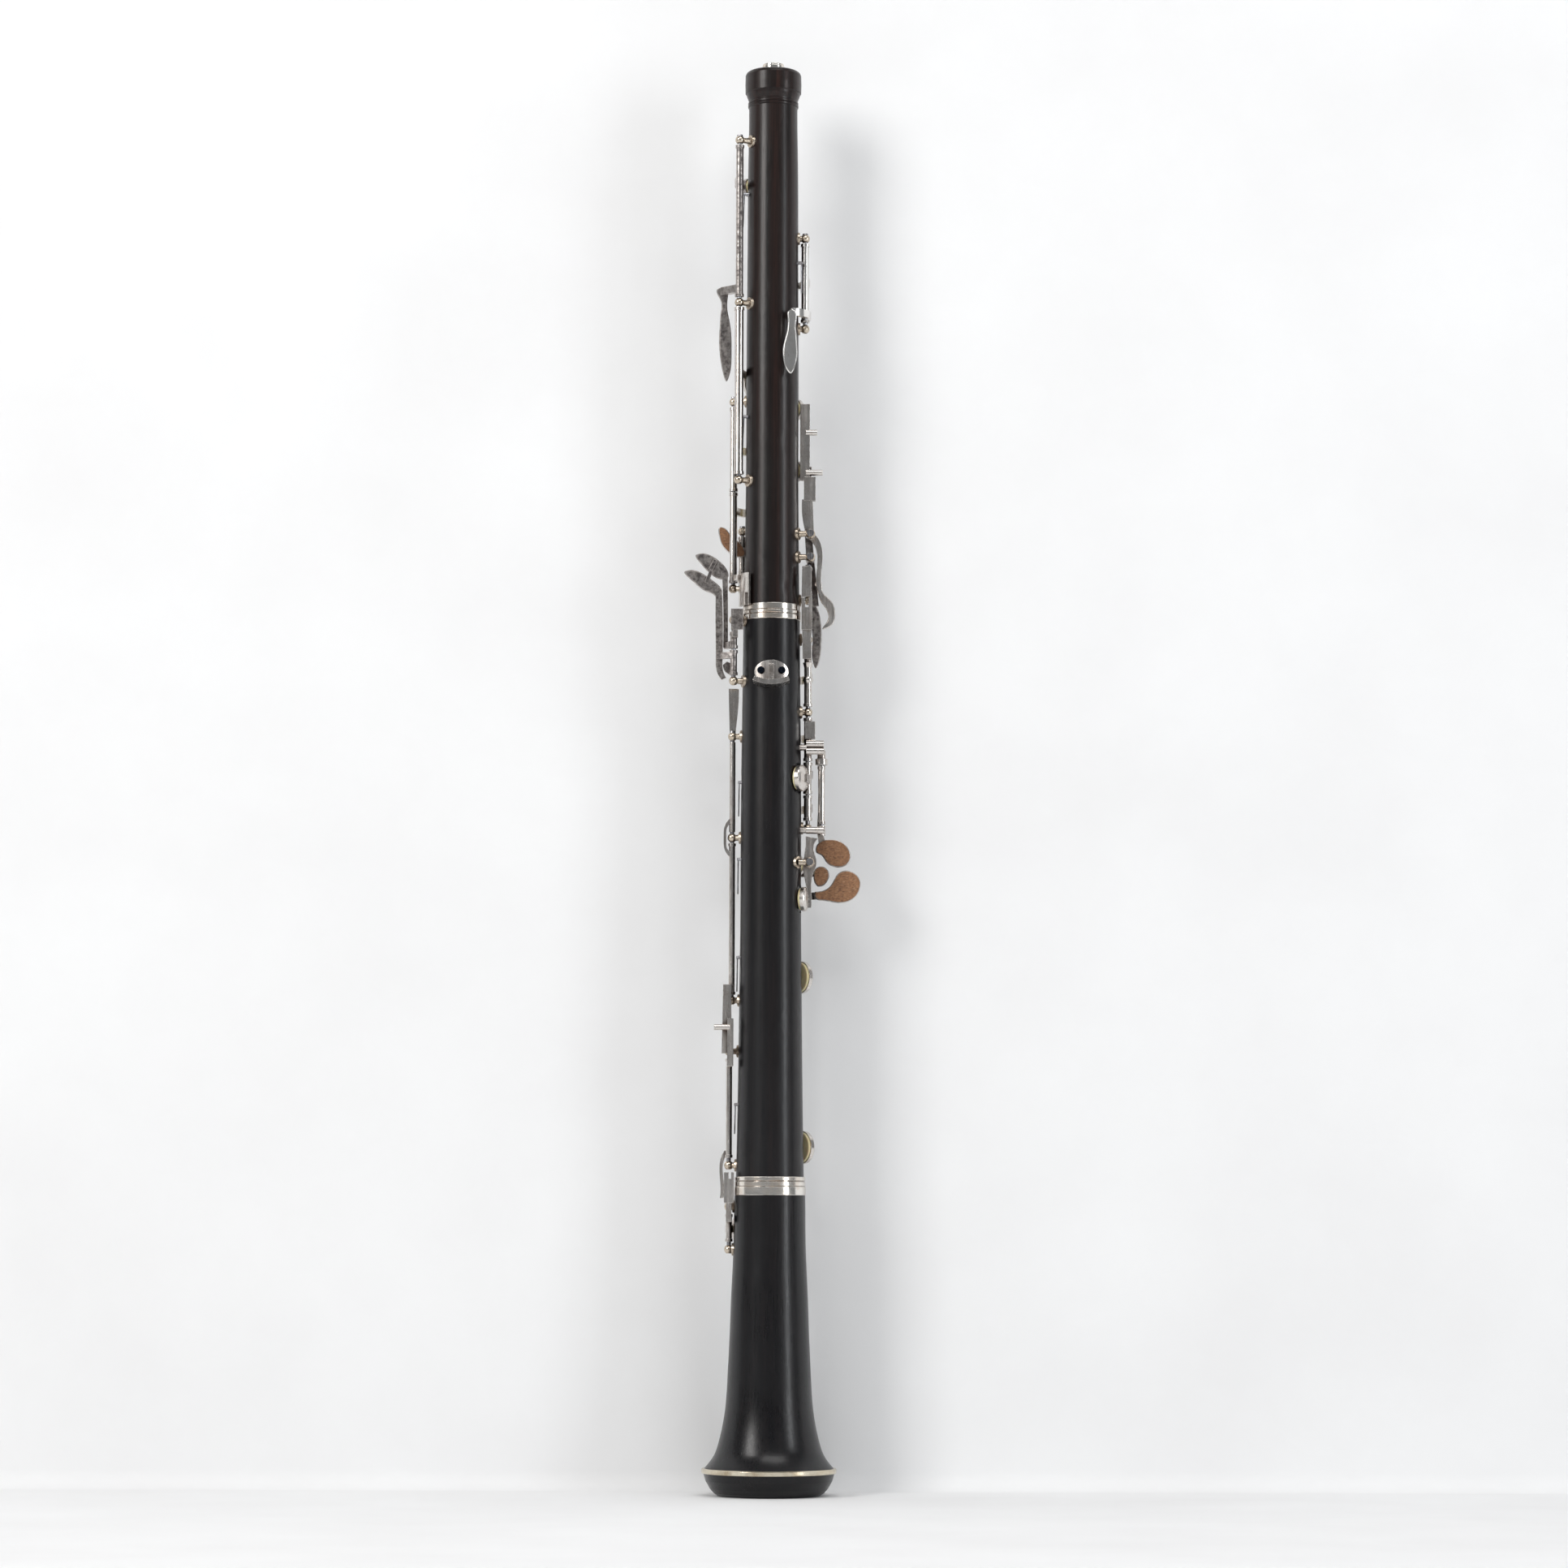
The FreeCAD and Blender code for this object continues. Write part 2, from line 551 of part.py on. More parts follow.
def make_g_sharp_key():
    reach = arm([(*ROD_GS, 1.3), (-5.5, 15.2, 1.0), (2.0, 16.2, 0.9),
                 cup_end("g_sharp", half=0.8)], 382.0, 3.0)
    root = arm([(*ROD_GS, 1.3), (-14.6, 9.3, 1.0), (-16.0, 8.8, 0.8)], 389.0, 5.0)
    parts = [reach, root, leaf(G_SHARP_TOUCH, "XZ", 8.0, 1.4, 0.3), cup("g_sharp")]
    return hinged(ROD_GS, 378.2, 393.8, parts, TUBE_R, "g_sharp")


def make_g_sharp_cork():
    return leaf(shrunk(G_SHARP_TOUCH, 0.45), "XZ", 7.2, 0.8)


TRILL_ONE_Z = 393.1
TRILL_TWO_Z = 383.4
TRILL_X = 15.9


def rocker(x, y0, y1, z, parts, hole, radius=1.9):
    """Key that rocks on a pivot along Y, bored for its screw."""
    solid = fused([bar((x, y0, z), (x, y1, z), radius)] + parts)
    return solid.cut([bar((x, y0 - 1, z), (x, y1 + 1, z), TUBE_BORE), pad(hole)])


def make_trill_lever_one():
    z, x = TRILL_ONE_Z, TRILL_X
    shaft = strap([(13.6, 448.0, 2.0), (13.6, 416.0, 2.0)], "XZ", -1.0, 2.0)
    block = strap([(15.6, 417.4, 2.4), (15.6, 407.4, 2.4)], "XZ", -1.3, 2.6)
    lower = strap([(14.7, 408.0, 2.3), (14.9, 400.0, 2.2), (x, z, 1.6)], "XZ", -1.0, 2.0)
    reach = arm([(13.8, 0.4, 1.0), (14.2, 4.4, 0.9), cup_end("trill_one", 0.1, 0.8)], 447.0, 2.0)
    stub_one = bar((14.0, -0.2, 436.1), (18.6, -0.2, 436.1), 1.25)
    stub_two = bar((14.0, -0.2, 419.3), (20.9, -0.2, 419.3), 1.25)
    foot = strap([(x, z, 1.6), (19.4, 388.0, 1.2), (19.7, 380.0, 1.0), (19.5, 372.0, 1.0)],
                 "XZ", 0.5, 1.7)
    spoon = leaf([(18.9, 374.0), (20.4, 373.6), (21.0, 370.0), (23.7, 366.8), (25.9, 363.4),
                  (26.2, 358.8), (24.2, 355.2), (21.0, 354.2), (22.9, 357.2), (23.4, 359.8),
                  (22.4, 362.6), (20.4, 365.4), (19.0, 369.4)], "XZ", 0.5, 1.6, 0.3)
    parts = [shaft, block, lower, reach, stub_one, stub_two, foot, spoon, cup("trill_one")]
    return rocker(x, -1.6, 2.6, z, parts, "trill_one")


def make_trill_lever_two():
    z, x = TRILL_TWO_Z, TRILL_X
    shaft = strap([(15.0, 422.4, 1.4), (14.9, 400.0, 1.5), (x, z, 1.6)], "XZ", 3.2, 1.9)
    reach = arm([(15.0, 4.2, 1.0), (14.4, 6.0, 0.9), cup_end("trill_two", 0.1, 0.8)], 421.0, 2.6)
    foot = strap([(x, z, 1.6), (17.2, 374.0, 1.3), (18.2, 364.0, 1.3)], "XZ", 3.2, 1.9)
    paddle = leaf([(17.0, 365.4), (18.9, 363.0), (20.3, 357.5), (20.7, 352.5), (20.6, 347.5),
                   (19.9, 341.9), (18.2, 338.2), (17.1, 341.0), (16.9, 352.0)],
                  "XZ", 3.4, 1.5, 0.3)
    parts = [shaft, reach, foot, paddle, cup("trill_two")]
    return rocker(x, -1.6, 5.4, z, parts, "trill_two")


def make_bridge_key():
    plate = strap([(14.4, 379.5, 1.9), (14.4, 366.8, 2.1)], "XZ", -5.2, 1.5)
    link = arm([(*ROD_B, 1.3), (15.0, -2.0, 1.1), (14.8, -4.4, 1.0)], 374.0, 4.4)
    return hinged(ROD_B, 368.2, 379.7, [plate, link])


# ---- keys of the lower section ------------------------------------------------------------
def make_right_first_key():
    """First finger plate, with the forked plate that meets the upper section's bridge."""
    reach = arm([(*ROD_B, 1.3), around(17.4, 28), around(17.6, 55),
                 cup_end("right_first", -0.7, 0.8)], 334.0, 3.2)
    fork = strap([(14.5, 366.4, 2.2), (14.5, 353.0, 2.2)], "XZ", -5.4, 1.7)
    slot = Part.makeBox(1.5, 4.0, 4.5, V(13.8, -6.0, 362.4))
    shank = strap([(14.5, 354.0, 1.9), (14.6, 341.0, 1.8)], "XZ", -5.0, 1.2)
    link = arm([(*ROD_B, 1.3), (15.2, -1.8, 1.1), (14.8, -4.2, 1.0)], 343.4, 4.6)
    bead = Part.makeSphere(2.05, V(*ROD_B, 332.9))
    flare = bar((*ROD_B, 337.8), (*ROD_B, 340.0), 1.5, 2.1)
    parts = [reach, fork.cut(slot), shank, link, bead, flare,
             cup("right_first", plate=True, vent=0.6)]
    return hinged(ROD_B, 321.8, 347.2, parts, TUBE_R, "right_first")


def make_right_second_key():
    reach = arm([(*ROD_B, 1.3), around(17.6, 28), around(17.8, 55),
                 cup_end("right_second", -0.7, 0.8)], 309.5, 3.2)
    block = strap([(16.0, 315.4, 2.1), (16.0, 308.2, 2.1)], "XZ", -1.8, 2.4)
    parts = [reach, block, cup("right_second", plate=True, vent=0.6)]
    return hinged(ROD_B, 299.2, 317.1, parts, TUBE_R, "right_second")


def make_right_third_key():
    reach = arm([(*ROD_B, 1.3), around(17.7, 28), around(17.9, 55),
                 cup_end("right_third", -0.7, 0.8)], 280.0, 3.2)
    parts = [reach, cup("right_third", plate=True, vent=0.6)]
    return hinged(ROD_B, 274.6, 285.0, parts, TUBE_R, "right_third")


def make_f_key():
    hold = arm([(*ROD_B, 1.3), cup_end("f", -0.2, 1.6)], 291.5, 3.4)
    reach = arm([(*ROD_B, 1.3), around(17.9, 26), around(18.6, 50)], 294.0, 3.0)
    touch = leaf([(9.0, 290.0), (12.6, 290.4), (14.4, 293.6), (12.8, 297.4), (9.0, 297.6),
                  (7.6, 294.0)], "XZ", 13.9, 1.3, 0.3)
    return hinged(ROD_B, 285.6, 298.6, [hold, reach, touch, cup("f")], TUBE_R, "f")


# Touches of the right little finger, each with a sheet of cork under it.
E_FLAT_TOUCH = [
    (18.8, 264.9), (20.8, 266.9), (24.1, 267.6), (28.2, 267.0), (31.6, 264.4), (32.9, 261.0),
    (32.0, 257.8), (29.1, 256.1), (25.4, 256.4), (22.6, 258.4), (20.8, 260.9), (18.8, 262.0)]
C_SHARP_TOUCH = [
    (18.3, 255.2), (20.6, 256.4), (22.8, 255.6), (24.1, 253.3), (23.4, 250.5), (21.6, 248.5),
    (19.3, 248.2), (17.9, 250.1), (17.6, 253.0)]
LOW_C_TOUCH = [
    (18.6, 246.0), (21.2, 246.3), (23.9, 247.7), (25.8, 250.4), (27.7, 253.4), (31.0, 254.7),
    (34.6, 253.6), (36.7, 251.1), (36.8, 247.3), (34.6, 243.5), (30.8, 241.5), (26.6, 241.4),
    (21.6, 242.2), (18.2, 243.6)]


def make_e_flat_touch_key():
    hub = arm([(*ROD_O, 1.3), (21.0, 6.4, 1.1), (20.8, 8.8, 0.9)], 276.0, 3.2)
    stem = strap([(20.4, 277.4, 1.2), (20.4, 270.0, 1.2), (21.6, 264.0, 1.6)], "XZ", 8.0, 1.3)
    touch = leaf(E_FLAT_TOUCH, "XZ", 8.0, 1.4, 0.3)
    return hinged(ROD_O, 273.4, 297.4, [hub, stem, touch], 1.4)


def make_e_flat_touch_cork():
    return leaf(shrunk(E_FLAT_TOUCH, 0.45), "XZ", 7.1, 0.9)


E_FLAT_Z = 256.8
E_FLAT_X = 15.9


def make_e_flat_key():
    lever = strap([(16.7, 267.3, 2.5), (15.8, 262.0, 1.8), (E_FLAT_X + 0.1, E_FLAT_Z, 2.7),
                   (15.4, 252.4, 1.9), (15.5, 247.4, 1.1), (15.7, 242.0, 1.0),
                   (15.6, 238.4, 0.95)], "XZ", -3.8, 2.0)
    spur = bar((15.3, -2.8, 242.0), (*cup_end("e_flat", -0.8)[:2], 242.0), 1.2)
    parts = [lever, spur, cup("e_flat")]
    return rocker(E_FLAT_X, -4.3, -0.6, E_FLAT_Z, parts, "e_flat")


def make_c_sharp_key():
    hold = arm([(*ROD_G, 1.3), around(18.6, 85), cup_end("c_sharp")], 255.6, 2.6)
    reach = arm([(*ROD_G, 1.3), (4.0, 18.2, 1.0), (12.4, 15.2, 0.9), (18.4, 11.4, 0.8),
                 (21.8, 9.3, 0.7)], 253.6, 2.4)
    parts = [hold, reach, leaf(C_SHARP_TOUCH, "XZ", 8.3, 1.3, 0.3), cup("c_sharp")]
    return hinged(ROD_G, 250.4, 263.4, parts, TUBE_R, "c_sharp")


def make_c_sharp_cork():
    return leaf(shrunk(C_SHARP_TOUCH, 0.4), "XZ", 7.5, 0.8)


def make_low_c_key():
    reach = arm([(*ROD_G, 1.3), around(18.6, 85), around(18.9, 58), cup_end("low_c")],
                210.5, 3.2)
    lever = arm([(*ROD_G, 1.3), (3.0, 19.4, 1.0), (12.6, 16.8, 1.0), (19.6, 11.4, 0.9),
                 (23.4, 9.4, 0.8)], 244.4, 3.0)
    parts = [reach, lever, leaf(LOW_C_TOUCH, "XZ", 8.3, 1.4, 0.3), cup("low_c")]
    return hinged(ROD_G, 197.4, 249.6, parts, TUBE_R, "low_c")


def make_low_c_cork():
    return leaf(shrunk(LOW_C_TOUCH, 0.45), "XZ", 7.4, 0.9)


def make_low_b_key():
    reach = arm([(*ROD_G, 1.3), around(19.4, 85), around(19.8, 58), cup_end("low_b")],
                140.8, 3.2)
    return hinged(ROD_G, 134.1, 191.6, [reach, cup("low_b")], TUBE_R, "low_b")


# ---- levers of the left little finger, and the rods they drive -----------------------------
def make_low_b_lever():
    """Upper leaf, with the inner arm and a plate in front of its rod's upper post."""
    touch = leaf([(-31.2, 385.1), (-28.3, 385.6), (-24.3, 384.2), (-20.7, 381.5), (-18.4, 378.4),
                  (-18.1, 375.8), (-20.6, 374.8), (-24.0, 376.0), (-27.3, 378.9), (-30.2, 382.3)],
                 "XZ", 0.8, 1.4, 0.35)
    clip = strap([(-23.2, 382.8, 0.8), (-25.4, 378.6, 0.8)], "XZ", 0.2, 0.9)
    shank = strap([(-19.4, 377.0, 1.2), (-19.1, 366.0, 1.0), (-19.0, 346.2, 1.0)], "XZ", 0.8, 1.4)
    hub = arm([(*ROD_E, 1.4), (-17.0, -1.8, 1.1), (-18.8, 1.8, 0.9)], 347.0, 2.6)
    riser = arm([(*ROD_E, 1.3), (-15.0, -7.9, 1.2)], 350.6, 2.4)
    plate = strap([(-14.2, 361.2, 2.5), (-14.2, 352.6, 2.5)], "XZ", -8.5, 1.3)
    tail = strap([(-14.9, 353.0, 1.1), (-14.9, 349.6, 1.1)], "XZ", -8.4, 1.1)
    return hinged(ROD_E, 345.2, 352.0, [touch, clip, shank, hub, riser, tail, plate], 1.4)


def make_low_b_flat_lever():
    """Lower leaf, with the outer arm, its cross bar and the curved foot."""
    touch = leaf([(-35.7, 377.8), (-32.7, 378.2), (-28.3, 376.6), (-24.3, 373.8), (-21.2, 371.0),
                  (-20.6, 368.6), (-22.6, 367.0), (-24.2, 368.2), (-26.8, 369.2), (-30.0, 371.2),
                  (-33.4, 374.2)], "XZ", -2.0, 1.4, 0.35)
    clip = strap([(-24.9, 378.0, 0.75), (-27.0, 372.8, 0.75)], "XZ", -2.6, 0.9)
    shank = strap([(-21.9, 370.0, 1.3), (-21.7, 360.0, 1.5), (-21.6, 341.4, 1.4),
                   (-21.3, 336.4, 1.3), (-19.6, 333.0, 1.0)], "XZ", -2.0, 1.4)
    hub = arm([(*ROD_E, 1.4), (-18.6, -3.6, 1.1), (-22.2, -1.4, 0.9)], 342.4, 2.6)
    block = strap([(-19.2, 339.2, 1.1), (-17.6, 337.2, 2.0), (-15.8, 335.4, 1.3)],
                  "XZ", -3.6, 1.6)
    return hinged(ROD_E, 334.1, 344.4, [touch, clip, shank, hub, block], 1.4)


def make_low_b_flat_rod():
    """Long key on the left of the lower section, stepped round its middle post."""
    x, y = ROD_D
    upper = bar((x, y, 269.9), (x, y, 307.0), 1.25)
    step = strap([(x - 0.4, 260.4, 1.0), (x - 2.75, 263.4, 0.55), (x - 2.95, 267.5, 0.55),
                  (x - 2.75, 271.6, 0.55), (x - 0.4, 274.6, 1.0)], "XZ", y - 0.9, 1.8)
    root = arm([(x, y, 1.2), (x - 0.2, y + 3.2, 0.9)], 303.6, 3.6)
    flag = strap([(x - 0.2, 302.0, 0.9), (x - 0.1, 309.0, 1.1), (x + 0.3, 320.0, 1.8),
                  (x + 0.4, 329.6, 2.1)], "XZ", y + 2.5, 1.3)
    plate = strap([(x - 1.8, 207.0, 1.6), (x - 1.8, 178.8, 2.1)], "XZ", y - 4.2, 1.4)
    link = arm([(x, y, 1.2), (x - 1.0, y - 3.4, 1.1)], 205.4, 3.0)
    solid = hinged(ROD_D, 203.0, 265.2, [step, upper, root, flag, plate, link], 1.25)
    return solid.cut(bar((x, y, 269.0), (x, y, 307.6), TUBE_BORE))


def make_low_b_flat_bridge():
    x, y = ROD_D2
    plate = strap([(x + 0.5, 193.0, 1.25), (x + 0.5, 173.6, 1.25)], "XZ", y - 6.4, 1.3)
    stub = bar((x - 6.2, y - 6.0, 189.4), (x + 0.4, y - 6.0, 189.4), 1.2)
    link = arm([(x, y, 1.2), (x + 0.4, y - 5.5, 1.1)], 174.8, 2.8)
    fork = strap([(x - 0.8, 139.0, 1.0), (x - 2.8, 135.2, 0.7), (x - 2.9, 128.0, 0.7),
                  (x - 2.9, 120.0, 0.7)], "XZ", y + 1.0, 1.7)
    return hinged(ROD_D2, 136.4, 176.8, [plate, stub, link, fork], 1.25)


def make_bell_key():
    x, y = ROD_BELL
    reach = arm([(*ROD_BELL, 1.2), around(18.6, 156), cup_end("bell")], 107.5, 3.2)
    shank = strap([(x, 110.4, 1.1), (x, 118.8, 1.1)], "XZ", y - 6.3, 1.1)
    finger = strap([(x, 118.0, 2.0), (x, 130.4, 2.0)], "XZ", y - 6.4, 1.3)
    notch = Part.makeBox(1.0, 3.0, 3.0, V(x - 0.1, y - 7.0, 127.8))
    link = arm([(x, y, 1.2), (x, y - 5.6, 1.1)], 111.6, 2.6)
    parts = [reach, shank, finger.cut(notch), link, cup("bell")]
    return hinged(ROD_BELL, 102.3, 113.5, parts, 1.25, "bell")


# ---- posts, rods, screws and springs -------------------------------------------------------
def lug(x, z, y_head, angle):
    """Post whose ball holds a pivot screw that lies along Y."""
    r = outside(z)
    foot = polar(r - 0.5, angle, z)
    shoulder = polar(r + 0.7, angle, z)
    head = V(x, y_head, z)
    solid = fused([bar(foot, shoulder, 2.7, 2.5), bar(shoulder, head, 1.35, 1.0),
                   Part.makeSphere(2.0, head)])
    return solid.cut(bar((x, y_head - 4, z), (x, y_head + 4, z), ROD_R))


def make_upper_posts():
    solids = [post(ROD_A, z) for z in (558.0, 489.4, 415.0)]
    solids += [post(ROD_C, z) for z in (449.6, 371.2)]
    solids += [post(ROD_GS, z) for z in (396.2, 375.8)]
    solids += [post(ROD_T, z) for z in (518.0, 479.8)]
    solids += [post(ROD_B, 365.9)]
    solids += [lug(TRILL_X, z, -4.0, -17.0) for z in (TRILL_ONE_Z, TRILL_TWO_Z)]
    return Part.makeCompound(solids)


def make_lower_posts():
    solids = [post(ROD_E, z) for z in (331.7, 357.0)]
    solids += [post(ROD_B, z) for z in (349.6, 319.4, 271.4)]
    solids += [post(ROD_D, z) for z in (309.4, 267.5, 200.6)]
    solids += [post(ROD_D2, z) for z in (179.8, 133.3)]
    solids += [post(ROD_G, z) for z in (266.1, 194.5, 131.0)]
    solids.append(lug(E_FLAT_X, E_FLAT_Z, -6.7, -30.0))
    return Part.makeCompound(solids)


def make_outrigger():
    """Two brackets that carry the outer rod, each with cross bars in front of the main rod."""
    x, y = ROD_O
    front = -2.9
    brackets = []
    for z, bars, angle in ((300.0, (303.0, 305.9), -13.0), (270.9, (270.3,), -12.0)):
        z_foot = sum(bars) / len(bars)
        parts = [
            bar(polar(outside(z_foot) - 0.4, angle, z_foot), (14.6, front, z_foot), 1.3),
            bar((x, front, bars[0]), (x, y, bars[0]), 1.3),
            bar((x, y, z - 2.2), (x, y, max(z + 1.8, bars[0] + 0.8)), 1.75)]
        parts += [bar((14.4, front, height), (x + 0.9, front, height), 1.5) for height in bars]
        if len(bars) > 1:
            parts.append(bar((x, y, z - 2.0), (x, y, z + 0.4), 2.6))
        brackets.append(fused(parts).cut(bar((x, y, z - 3), (x, y, z + 5), ROD_R)))
    return Part.makeCompound(brackets)


def make_bell_posts():
    return Part.makeCompound([post(ROD_BELL, z) for z in (116.6, 99.2)])


def make_hinge_rods():
    spans = [
        (ROD_A, 413.4, 559.2), (ROD_C, 369.6, 450.8), (ROD_GS, 374.4, 397.4),
        (ROD_T, 478.4, 519.2), (ROD_B, 364.2, 379.9), (ROD_E, 330.2, 358.2),
        (ROD_B, 269.8, 350.8), (ROD_D, 199.0, 310.8), (ROD_D2, 131.8, 181.0),
        (ROD_BELL, 97.8, 117.8), (ROD_O, 269.2, 303.4), (ROD_G, 129.6, 267.4)]
    return Part.makeCompound([rod(axis, z0, z1) for axis, z0, z1 in spans])


def pivot_screw(x, z, y_head, y_tip):
    """Screw along Y through a lug and a rocking key."""
    shank = bar((x, y_head, z), (x, y_tip, z), ROD_R)
    head = bar((x, y_head - 0.8, z), (x, y_head, z), 1.5)
    slot = Part.makeBox(0.4, 0.6, 4.0, V(x - 0.2, y_head - 1.0, z - 2.0))
    return fused([shank, head]).cut(slot)


def make_screws():
    r = outside(REST_Z)
    solids = [pivot_screw(TRILL_X, TRILL_ONE_Z, -6.05, 3.0),
              pivot_screw(TRILL_X, TRILL_TWO_Z, -6.05, 5.8),
              pivot_screw(E_FLAT_X, E_FLAT_Z, -8.75, -0.2)]
    for x in (-4.3, 4.3):
        y = -sqrt((r + 1.5) ** 2 - x * x)
        solids.append(screw_head((x, y - 0.1, REST_Z + 0.4), (0, -1, 0), 1.5, 1.0))
    return Part.makeCompound(solids)


def spring(p0, p1, radius=0.28):
    """Needle spring with the stud it is set in."""
    p0, p1 = V(*p0), V(*p1)
    angle = degrees(atan2(p0.y, p0.x))
    foot = polar(outside(p0.z) - 0.3, angle, p0.z)
    stud = bar(foot, p0 + polar(0.4, angle, 0), 0.75, 0.6)
    return fused([stud, bar(p0, p1, radius)])


def make_needle_springs():
    pairs = [
        (polar(12.4, 196, 536.0), polar(12.9, 195, 522.0)),
        (polar(12.5, 200, 442.0), polar(13.0, 199, 428.0)),
        (polar(12.4, -16, 507.0), polar(12.5, -17, 494.0)),
        (polar(13.3, 190, 290.0), polar(13.5, 189, 276.0)),
        (polar(13.6, 190, 258.3), polar(13.7, 189, 244.0)),
        (polar(13.8, 190, 218.0), polar(13.9, 189, 204.0)),
        (polar(14.4, 190, 158.0), polar(14.6, 189, 146.0))]
    return Part.makeCompound([spring(p0, p1) for p0, p1 in pairs])


NODES = {
    "upper_joint": make_upper_joint,
    "lower_joint": make_lower_joint,
    "bell": make_bell,
    "tenon_corks": make_tenon_corks,
    "reed_well_liner": make_reed_well_liner,
    "ferrules": make_ferrules,
    "bell_ring": make_bell_ring,
    "octave_vents": make_octave_vents,
    "thumb_rest": make_thumb_rest,
    "upper_posts": make_upper_posts,
    "lower_posts": make_lower_posts,
    "outrigger": make_outrigger,
    "bell_posts": make_bell_posts,
    "hinge_rods": make_hinge_rods,
    "screws": make_screws,
    "needle_springs": make_needle_springs,
    "side_octave_key": make_side_octave_key,
    "thumb_octave_key": make_thumb_octave_key,
    "left_first_key": make_left_first_key,
    "left_second_key": make_left_second_key,
    "left_third_key": make_left_third_key,
    "g_sharp_key": make_g_sharp_key,
    "g_sharp_cork": make_g_sharp_cork,
    "trill_lever_one": make_trill_lever_one,
    "trill_lever_two": make_trill_lever_two,
    "bridge_key": make_bridge_key,
    "right_first_key": make_right_first_key,
    "right_second_key": make_right_second_key,
    "right_third_key": make_right_third_key,
    "f_key": make_f_key,
    "e_flat_touch_key": make_e_flat_touch_key,
    "e_flat_touch_cork": make_e_flat_touch_cork,
    "e_flat_key": make_e_flat_key,
    "c_sharp_key": make_c_sharp_key,
    "c_sharp_cork": make_c_sharp_cork,
    "low_c_key": make_low_c_key,
    "low_c_cork": make_low_c_cork,
    "low_b_key": make_low_b_key,
    "low_b_lever": make_low_b_lever,
    "low_b_flat_lever": make_low_b_flat_lever,
    "low_b_flat_rod": make_low_b_flat_rod,
    "low_b_flat_bridge": make_low_b_flat_bridge,
    "bell_key": make_bell_key,
}

os.makedirs("parts", exist_ok=True)
for node, make in NODES.items():
    make().exportStep("parts/" + node + ".step")
for hole in HOLES:
    pad(hole).exportStep("parts/" + hole + "_pad.step")
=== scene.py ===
import math

import bpy
from mathutils import Matrix, Vector

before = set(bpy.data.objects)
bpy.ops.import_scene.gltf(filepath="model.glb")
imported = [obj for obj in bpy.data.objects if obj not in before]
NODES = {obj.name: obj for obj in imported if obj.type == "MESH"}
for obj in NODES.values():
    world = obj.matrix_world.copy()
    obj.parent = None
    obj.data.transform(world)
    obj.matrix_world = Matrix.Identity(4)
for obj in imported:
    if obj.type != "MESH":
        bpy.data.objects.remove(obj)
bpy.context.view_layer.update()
MM = 0.001

SHARP_ANGLE = math.radians(28)
THUMB_SCREWS_HEIGHT = 0.3352
THUMB_SCREWS_REACH = 0.004

# a full-frame sensor with a long lens, low down and tilted up a little
SENSOR_WIDTH = 36.0
LENS_LENGTH = 102.4845
CAMERA_PLACE = (5.3 * MM, -1826.6 * MM, 102.5 * MM)
CAMERA_PITCH = math.radians(5.85)
CAMERA_ROLL = math.radians(0.17)
CAMERA_REACH = 50.0

WORLD_COLOUR = (0.93, 0.95, 0.97, 1)
WORLD_STRENGTH = 0.22
LIGHT_TARGET = (0, 0, 0.3)


